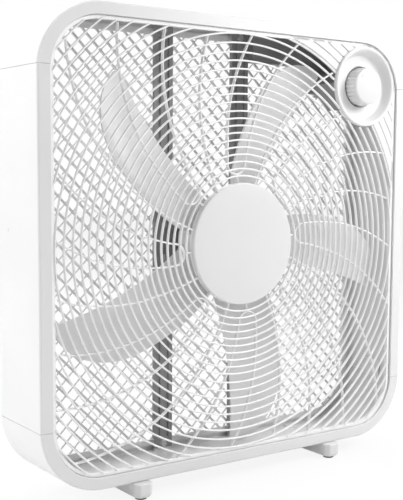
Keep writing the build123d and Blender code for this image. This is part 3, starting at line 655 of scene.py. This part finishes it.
# %% [markdown]
# One edge is hollow, a shallow parabola that ends in a small round corner at the tip. The other is a
# belly made of two quarter ellipses, which meet where the blade is widest. Hand-drawn curves would
# look the same, but formulas can be changed by one number.
# %% The blade's two edges
from_hollow = maths("SUBTRACT", radius, size["Hollow at"])
hollow_edge = maths("MULTIPLY", square(from_hollow), size["Hollow curve"])
hollow_edge = maths("MULTIPLY", hollow_edge, -1.0)
round_start = maths("SUBTRACT", size["Tip"], size["Tip round"])
past_round = maths("MAXIMUM", maths("SUBTRACT", radius, round_start), 0.0)
left = maths("SUBTRACT", square(size["Tip round"]), square(past_round))
left = maths("SQRT", maths("MAXIMUM", left, 0.0))
corner = maths("SUBTRACT", size["Tip round"], left)
hollow_edge = maths("ADD", hollow_edge, corner)

from_widest = maths("SUBTRACT", radius, size["Widest at"])
to_tip = maths("SUBTRACT", size["Tip"], size["Widest at"])
beyond = maths("DIVIDE", maths("MAXIMUM", from_widest, 0.0), to_tip)
within = maths("DIVIDE", maths("MINIMUM", from_widest, 0.0), size["Belly"])
left = maths("SUBTRACT", maths("SUBTRACT", 1.0, square(beyond)), square(within))
left = maths("SQRT", maths("MAXIMUM", left, 0.0))
belly_edge = maths("MULTIPLY", size["Width"], left)
sideways = blend(across, hollow_edge, belly_edge)

# %% [markdown]
# On the cone, a point that is `along` the lowest line and `aside` of it is lifted by the positive root
# of a quadratic. A Curve modifier could bend a flat sheet, but only this gives a true cone. The lowest
# line rises a little, so the distance along it is worked out twice.
# %% Lift the blade onto its cone
cos_cone = maths("COSINE", size["Cone"])
sin_cone = maths("SINE", size["Cone"])
aside = maths("SUBTRACT", sideways, size["Apex Y"])
flat_share = maths("SUBTRACT", square(sin_cone), square(cos_cone))
aside_term = maths("MULTIPLY", flat_share, square(maths("MULTIPLY", cos_cone, aside)))


def lift_at(along):
    """How far the cone lies above its lowest line, this far along it."""
    half = maths("MULTIPLY", maths("MULTIPLY", cos_cone, sin_cone), along)
    root = maths("SQRT", maths("ADD", square(half), aside_term))
    return maths("DIVIDE", maths("SUBTRACT", root, half), flat_share)


rise_cos = maths("COSINE", size["Cone rise"])
level = maths("DIVIDE", maths("SUBTRACT", radius, size["Apex X"]), rise_cos)
along = maths("MULTIPLY_ADD", lift_at(level), maths("TANGENT", size["Cone rise"]), level)
rise = maths("MULTIPLY", along, maths("SINE", size["Cone rise"]))
height = maths("MULTIPLY_ADD", lift_at(along), rise_cos, rise)
height = maths("ADD", height, size["Apex Z"])

# %% [markdown]
# The sheet gets its wall by moving a copy back along its normals and extruding that copy to the front
# again. A Solidify modifier would do it too, but here the wall belongs to the tree, so one blade is
# finished before it is repeated round the hub.
# %% Thicken and repeat the blade
bent = xyz(blades, radius, sideways, height)
front = geo(blades, "SetPosition", {"Geometry": grid, "Position": bent})
normal = geo(blades, "InputNormal")
backwards = {0: normal, "Scale": maths("MULTIPLY", size["Thickness"], -1.0)}
backwards = node(blades, "ShaderNodeVectorMath", backwards, operation="SCALE").outputs[0]
back = geo(blades, "SetPosition", {"Geometry": front, "Offset": backwards})
wall = {"Mesh": back, "Offset Scale": size["Thickness"], "Individual": False}
thick = geo(blades, "ExtrudeMesh", wall)
closed = joined(blades, thick, geo(blades, "FlipFaces", {"Mesh": back}))
blade = geo(blades, "MergeByDistance", {"Geometry": closed, "Distance": 1e-5})
turn = stepped(blades, maths("DIVIDE", 2 * pi, size["Count"]), size["First angle"])
copies = copies_round(blades, blade, size["Count"], turn)
close_tree(blades, stand_up(blades, copies, size), blade_plastic)
fan_blades = grow("fan_blades", blades, blade_sizes)
finish(round_edges(fan_blades, 0.7 * mm, 2, 40), blade_plastic, "fan", "fan")

# %% [markdown]
# ## The fan's hub
# The hub is a cup that hides the front of the motor, with a boss in its middle for the shaft. Cylinders
# could be added and cut away, but one profile turned like the disc shows the whole section at once.
# %% Fan hub
fan_low, fan_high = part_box("fan")
hub_front, hub_back = fan_low.y, fan_high.y
hub_radius, hub_wall = 50 * mm, 3 * mm
hub_inside, hub_floor = hub_radius - hub_wall, hub_front + hub_wall
bore_radius, boss_radius, boss_back = 4.05 * mm, 9 * mm, hub_front + 15 * mm
profile = [(bore_radius, hub_front), (hub_inside, hub_front), (hub_radius, hub_floor)]
profile += [(hub_radius, hub_back), (hub_inside, hub_back), (hub_inside, hub_floor)]
profile += [(boss_radius, hub_floor), (boss_radius, boss_back), (bore_radius, boss_back)]
fan_hub = turned("fan_hub", profile, 0.0, fan_z)
finish(round_edges(fan_hub, 0.8 * mm), blade_plastic, "fan", "fan")

# %% [markdown]
# ## The control corner
# The plate closes the guard where the switch is, and the guard's rings go on across it as fine
# grooves. A bump map could draw them, but its grooves would have no depth from the side. So a polar
# grid, finer than the grooves, is pressed in where its radius is near a groove's, and the points
# outside the opening or under the dish are deleted.
# %% The tree of the grooved plate
plate_front = guard_low.y
plate_sizes = {
    "Inner": plate_edge, "Outer": 320 * mm, "First": 261.8 * mm, "Pitch": 10.5 * mm,
    "Groove": 0.75 * mm, "Press": 1.8 * mm, "Half X": opening["Half X"] + 2 * mm,
    "Half Z": opening["Half Z"] + 2 * mm, "Corner": opening["Corner"] + 1 * mm,
    "Dish X": knob_x, "Dish Z": knob_up, "Dish": dish_radius - 2.5 * mm,
    "From": atan2(panel_low.z - fan_z, frame_half_x - frame_width),
    "To": atan2(frame_half_z - frame_width, panel_low.x), "Y": plate_front, "Z": fan_z,
}
plate, size = new_tree("grooved plate", plate_sizes)
grid = geo(plate, "MeshGrid", {"Size X": 1.0, "Size Y": 1.0, "Vertices X": 190, "Vertices Y": 160})
x, y = flat_place(plate)
reach = calc(plate, "SUBTRACT", size["Outer"], size["Inner"])
radius = calc(plate, "MULTIPLY_ADD", calc(plate, "ADD", x, 0.5), reach, size["Inner"])
span = calc(plate, "SUBTRACT", size["To"], size["From"])
angle = calc(plate, "MULTIPLY_ADD", calc(plate, "ADD", y, 0.5), span, size["From"])
phase = calc(plate, "DIVIDE", calc(plate, "SUBTRACT", radius, size["First"]), size["Pitch"])
nearest = calc(plate, "ABSOLUTE", calc(plate, "SUBTRACT", phase, calc(plate, "ROUND", phase)))
in_groove = calc(plate, "LESS_THAN", calc(plate, "MULTIPLY", nearest, size["Pitch"]), size["Groove"])
press = calc(plate, "MULTIPLY", calc(plate, "MULTIPLY", in_groove, size["Press"]), -1.0)
bent = polar_place(plate, radius, angle, press)
sheet = geo(plate, "SetPosition", {"Geometry": grid, "Position": bent})
x, z = flat_place(plate)
gone = combined(plate, "OR", outside_opening(plate, size, x, z), under_dish(plate, size, x, z))
sheet = geo(plate, "DeleteGeometry", {"Geometry": sheet, "Selection": gone})
close_tree(plate, stand_up(plate, sheet, size), white_plastic)

# %% [markdown]
# The tree makes a sheet without a wall. It could be extruded in the tree, like the blades. A Solidify
# modifier is enough here, because nothing is repeated after it.
# %% Grow the plate
corner_plate = grow("control_plate", plate, plate_sizes)
thickness = corner_plate.modifiers.new("Thickness", "SOLIDIFY")
thickness.thickness = 2.2 * mm
thickness.offset = -1.0
finish(corner_plate, white_plastic, "casing", "control_panel")

# %% [markdown]
# ## The dish
# A soft, wide funnel with a flat floor and a deep well that the knob sinks into. A subdivided cylinder
# could be pulled into this shape by eye. One turned profile is exact: rounded shoulders, and between
# them a slope in eight steps that eases in and out.
# %% Dish
dish_front, dish_back = panel_low.y, panel_high.y
dish_floor = dish_front + 10.5 * mm
well_floor = dish_floor + 5 * mm
floor_radius, well_radius, bore = 38 * mm, 25.4 * mm, 4.85 * mm
lip_round, well_round = 1.2 * mm, 0.8 * mm
slope_radius, slope_front = dish_radius - 3 * mm, dish_front + 0.2 * mm
profile = [(dish_radius, plate_front + 2 * mm), (dish_radius, dish_front + lip_round)]
profile += [(dish_radius - lip_round, dish_front), (slope_radius, slope_front)]
for step in range(1, 9):
    share = step / 8
    ease = share * share * (3 - 2 * share)
    reach = slope_radius - (slope_radius - floor_radius) * share
    profile.append((reach, slope_front + (dish_floor - slope_front) * ease))
profile += [(well_radius + well_round, dish_floor), (well_radius, dish_floor + well_round)]
profile += [(well_radius, well_floor), (bore, well_floor)]
profile += [(bore, dish_back), (well_radius + 2 * mm, dish_back)]
dish = turned("control_dish", profile, knob_x, knob_z, steps=128)
finish(round_edges(dish, 0.3 * mm, 2), white_plastic, "casing", "control_panel")

# %% [markdown]
# ## The knob
# Twenty-eight shallow flutes run up its side, for the fingers. Rods could be cut out of a cylinder,
# but booleans leave ragged edges. Here each ring of points wavers by the flutes' depth instead.
# %% A turned piece with flutes
def fluted_knob(name, stations, flutes=28, per_flute=8):
    """A turned piece whose radius wavers. Each station is (radius, y, flute depth)."""
    steps = flutes * per_flute
    shape = bmesh.new()
    rows = []
    for radius, y, depth in stations:
        row = []
        for step in range(steps):
            angle = 2 * pi * step / steps
            wave = abs(cos(flutes * angle / 2)) ** 0.7
            reach = radius - depth * (1 - wave)
            row.append(shape.verts.new((knob_x + reach * cos(angle), y, knob_z + reach * sin(angle))))
        rows.append(row)
    join_rows(shape, rows)
    shape.faces.new(rows[0])
    shape.faces.new(rows[-1])
    piece = as_piece(shape, name)
    piece.data.shade_smooth()
    return piece


# %% [markdown]
# The stations go from the back of the knob up its side, round the edge and in over the face. The
# flutes could stop at the edge, but a moulded knob has them fade out towards it.
# %% Knob
knob_low, knob_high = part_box("speed_knob")
knob_face, knob_back = knob_low.y, knob_high.y
knob_radius, face_radius = 24.1 * mm, 22.4 * mm
flute_depth, edge_round = 1.2 * mm, 2.2 * mm
shoulder = knob_face + 2.6 * mm
stations = [(knob_radius, knob_back, flute_depth)]
for share in (0.25, 0.5, 0.75, 1.0):
    depth = flute_depth * (1 - max(share - 0.75, 0) * 2)
    reach = knob_radius + (face_radius - knob_radius) * share
    stations.append((reach, knob_back + (shoulder - knob_back) * share, depth))
for turn in (20, 40, 60, 80):
    reach = face_radius - edge_round * (1 - cos(radians(turn)))
    stations.append((reach, shoulder - edge_round * sin(radians(turn)), 0.0))
for reach, below in ((face_radius - 4 * mm, 0.25), (face_radius * 0.55, 0.1), (face_radius * 0.2, 0.05)):
    stations.append((reach, knob_face + below * mm, 0.0))
knob = fluted_knob("knob_cap", stations)
finish(knob, knob_white_painted_shade, "knob", "speed_knob")

# %% [markdown]
# Three short parallel ribs near the edge of the face are the pointer. Scaled cubes could make them,
# but their ends would be square. So each rib is an outline with two half circles, raised a little.
# %% Pointer ribs
def rib(name, x, z, angle, length, width, front, height):
    """A small bar with rounded ends that stands on the knob's face."""
    outline = []
    for side in (-1, 1):
        for step in range(9):
            turn = radians(side * 90 - 180 * step / 8)
            outline.append((side * (length - width) / 2 + width / 2 * cos(turn), width / 2 * sin(turn)))
    c, s = cos(angle), sin(angle)
    places = [(x + u * c - v * s, z + u * s + v * c) for u, v in outline]
    shape = bmesh.new()
    rows = [[shape.verts.new((px, y, pz)) for px, pz in places] for y in (front, front - height)]
    join_rows(shape, rows)
    for row in rows:
        shape.faces.new(row)
    return as_piece(shape, name)


pointer_angle = radians(131)
from_axis, rib_pitch = 17.0 * mm, 1.9 * mm
for number in (-1, 0, 1):
    sideways = number * rib_pitch
    x = knob_x + from_axis * cos(pointer_angle) - sideways * sin(pointer_angle)
    z = knob_z + from_axis * sin(pointer_angle) + sideways * cos(pointer_angle)
    name = f"knob_pointer_rib_{number + 2}"
    small = rib(name, x, z, pointer_angle, 6.5 * mm, 0.8 * mm, knob_face + 0.45 * mm, 0.5 * mm)
    finish(round_edges(small, 0.15 * mm, 2), knob_white_painted_shade, "knob")

# %% [markdown]
# ## Motor, bars and wiring
# Two grooved steel bars carry the motor behind the blades. They keep their outlines and get rounded
# edges and dark paint, as do the motor's plate and the trays that hold the wires. The motor's shells
# get rounded edges and bare steel. The pieces closed in behind them could be rounded too, but nobody
# sees them, so they only get their material.
# %% Rounded copies behind the fan
for bar in ("motor_bar_left", "motor_bar_right"):
    softened(bar, dark_steel, 0.5 * mm)
softened("motor_mount", dark_steel, 0.5 * mm)
softened("wiring_cover", dark_plastic, 0.6 * mm)
softened("switch_housing", dark_plastic, 0.8 * mm)
softened("motor_rear_shell", bare_steel, 0.5 * mm)
softened("motor_front_shell", bare_steel, 0.5 * mm)
plain_finish = {
    "stator_core": bare_steel, "stator_winding": winding_wire, "rotor": bare_steel,
    "switch_shaft": bare_steel, "rotary_switch": black_plastic, "run_capacitor": black_plastic,
}
for name, material in plain_finish.items():
    frame["nodes"][name].data.materials.clear()
    frame["nodes"][name].data.materials.append(material)
print("plain pieces:", len(plain_finish))

# %% [markdown]
# ## Screws
# Hexagon-washer screws hold the bars to the casing and the motor's plate to the bars. Each could be an
# object of its own. One head, a washer and a six-sided block, is enough when a tree puts a copy of it
# on each of a list of points.
# %% The tree of screws
screw_sizes = {"Head": 3.9 * mm, "Washer": 4.6 * mm, "Height": 2.4 * mm}
screws, size = new_tree("screw heads", screw_sizes)
block = {"Vertices": 6, "Radius": size["Head"], "Depth": size["Height"]}
head = geo(screws, "MeshCylinder", block)
washer_height = calc(screws, "MULTIPLY", size["Height"], 0.3)
flat_ring = {"Vertices": 24, "Radius": size["Washer"], "Depth": washer_height}
washer = geo(screws, "MeshCylinder", flat_ring)
lift = xyz(screws, z=calc(screws, "MULTIPLY", size["Height"], 0.5))
head = geo(screws, "Transform", {"Geometry": head, "Translation": lift})
screw = joined(screws, head, washer)
spots = geo(screws, "MeshToPoints", {"Mesh": size["Geometry"]})
each = {"Points": spots, "Instance": screw, "Rotation": (radians(90), 0, 0)}
copies = geo(screws, "InstanceOnPoints", each)
close_tree(screws, copies, bare_steel, smooth=False)

# %% [markdown]
# A screw sits near each end of each bar, and two smaller ones hold the motor's plate to each bar. The
# places could be listed, but both sets are the same four corners at another height.
# %% Grow the screws
bar_low, bar_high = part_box("motor_bar_right")
bar_x = (bar_low.x + bar_high.x) / 2


def four_corners(y, up):
    """Places on both bars, this far above and below the fan's axis."""
    return [(side * bar_x, y, fan_z + end * up) for side in (-1, 1) for end in (-1, 1)]


bar_ends = four_corners(bar_low.y, bar_high.z - fan_z - 4.9 * mm)
finish(grow("bar_screws", screws, screw_sizes, bar_ends), bare_steel, "casing")
mount_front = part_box("motor_mount")[0].y
small_sizes = {"Head": 3.4 * mm, "Washer": 4.2 * mm, "Height": 2.2 * mm}
mount_screws = grow("mount_screws", screws, small_sizes, four_corners(mount_front, 20 * mm))
finish(mount_screws, bare_steel, "casing")

# %% [markdown]
# ## Floor, light and camera
# The floor and the background are white to the camera, and the floor still takes a soft shadow. More
# light would whiten them too, but it would burn out the casing. So plain white is mixed in for the
# camera's rays, and for the rays that a gloss or a clear piece sends on.
# %% What the camera sees
def seen_share(tree):
    """1 where the camera looks, straight or by way of a gloss or a clear piece, and 0 for other light."""
    paths = node(tree, "ShaderNodeLightPath").outputs
    mirrored = calc(tree, "MAXIMUM", paths["Is Glossy Ray"], paths["Is Transmission Ray"])
    return calc(tree, "MAXIMUM", paths["Is Camera Ray"], mirrored)


# %% [markdown]
# The floor is a plain square, so wide that its edge is far behind the fan. A little of its own shading
# is left in, which is where the shadow shows. The world gives a dim, even light from all sides.
# %% Floor and world
floor_grey, full_white = (0.85, 0.85, 0.85, 1), (1, 1, 1, 1)
floor_white_share, world_light = 0.88, 0.36
floor_mesh = bpy.data.meshes.new("floor")
floor_mesh.from_pydata([(-6, -6, 0), (6, -6, 0), (6, 6, 0), (-6, 6, 0)], [], [(0, 1, 2, 3)])
floor = keep(floor_mesh, "floor")
floor_paint = bpy.data.materials.new("floor_paint")
floor_paint.use_nodes = True
tree = floor_paint.node_tree
tree.nodes.clear()
diffuse = node(tree, "ShaderNodeBsdfDiffuse", {"Color": floor_grey}).outputs[0]
white = node(tree, "ShaderNodeEmission", {"Color": full_white, "Strength": 1.0}).outputs[0]
seen = calc(tree, "MULTIPLY", seen_share(tree), floor_white_share)
mixed = node(tree, "ShaderNodeMixShader", {0: seen, 1: diffuse, 2: white}).outputs[0]
node(tree, "ShaderNodeOutputMaterial", {"Surface": mixed})
floor_mesh.materials.append(floor_paint)

world = bpy.data.worlds.new("studio")
bpy.context.scene.world = world
world.use_nodes = True
tree = world.node_tree
tree.nodes.clear()
dim = node(tree, "ShaderNodeBackground", {"Color": full_white, "Strength": world_light}).outputs[0]
bright = node(tree, "ShaderNodeBackground", {"Color": full_white, "Strength": 1.0}).outputs[0]
mixed = node(tree, "ShaderNodeMixShader", {0: seen_share(tree), 1: dim, 2: bright}).outputs[0]
node(tree, "ShaderNodeOutputWorld", {"Surface": mixed})

# %% [markdown]
# Four broad lamps light the casing: one in front on the right, one from the left side, one from above
# and one from behind, which keeps the back readable. A sun would be simpler, but it would draw a hard
# copy of every ring on the blades.
# %% Lamps
def lamp(name, place, aim, width, power):
    """A square area lamp at a place, turned towards an aim."""
    light = bpy.data.lights.new(name, "AREA")
    light.shape = "SQUARE"
    light.size = width
    light.energy = power
    holder = bpy.data.objects.new(name, light)
    bpy.context.scene.collection.objects.link(holder)
    holder.location = place
    holder.rotation_euler = (Vector(aim) - Vector(place)).to_track_quat("-Z", "Y").to_euler()


middle = (0.0, 0.0, 0.27)
lamp("key_lamp", (0.72, -0.72, 0.95), (0.2, 0.0, 0.3), 0.5, 11.3)
lamp("back_lamp", (0.3, 1.4, 1.2), middle, 1.4, 14.0)
lamp("top_lamp", (-0.3, 0.3, 1.9), middle, 1.2, 9.0)
lamp("side_lamp", (-1.9, 0.4, 1.2), middle, 1.2, 27.0)
print("lamps:", len(bpy.data.lights))

# %% [markdown]
# The camera stands to the viewer's left, a little above the middle of the fan. It could be pointed at
# a target, but that leaves out the roll. So its direction is given by a yaw, a pitch and a small roll,
# in radians.
# %% Camera
camera_place = (-0.69396, -0.96596, 0.3675)
yaw, pitch, roll = 0.6346, 0.0968, 0.0085
ahead = Vector((sin(yaw) * cos(pitch), cos(yaw) * cos(pitch), -sin(pitch)))
right = Vector((cos(yaw), -sin(yaw), 0.0))
upwards = right.cross(ahead)
right_rolled = cos(roll) * right + sin(roll) * upwards
up_rolled = cos(roll) * upwards - sin(roll) * right
lens = bpy.data.cameras.new("camera")
lens.lens = 71.34
lens.shift_x = -0.0587
lens.shift_y = 0.0246
camera = bpy.data.objects.new("camera", lens)
bpy.context.scene.collection.objects.link(camera)
turn = Matrix((right_rolled, up_rolled, -ahead)).transposed()
camera.matrix_world = Matrix.Translation(camera_place) @ turn.to_4x4()
bpy.context.scene.camera = camera
bpy.context.scene.view_settings.view_transform = "Standard"
print("camera at", camera_place)
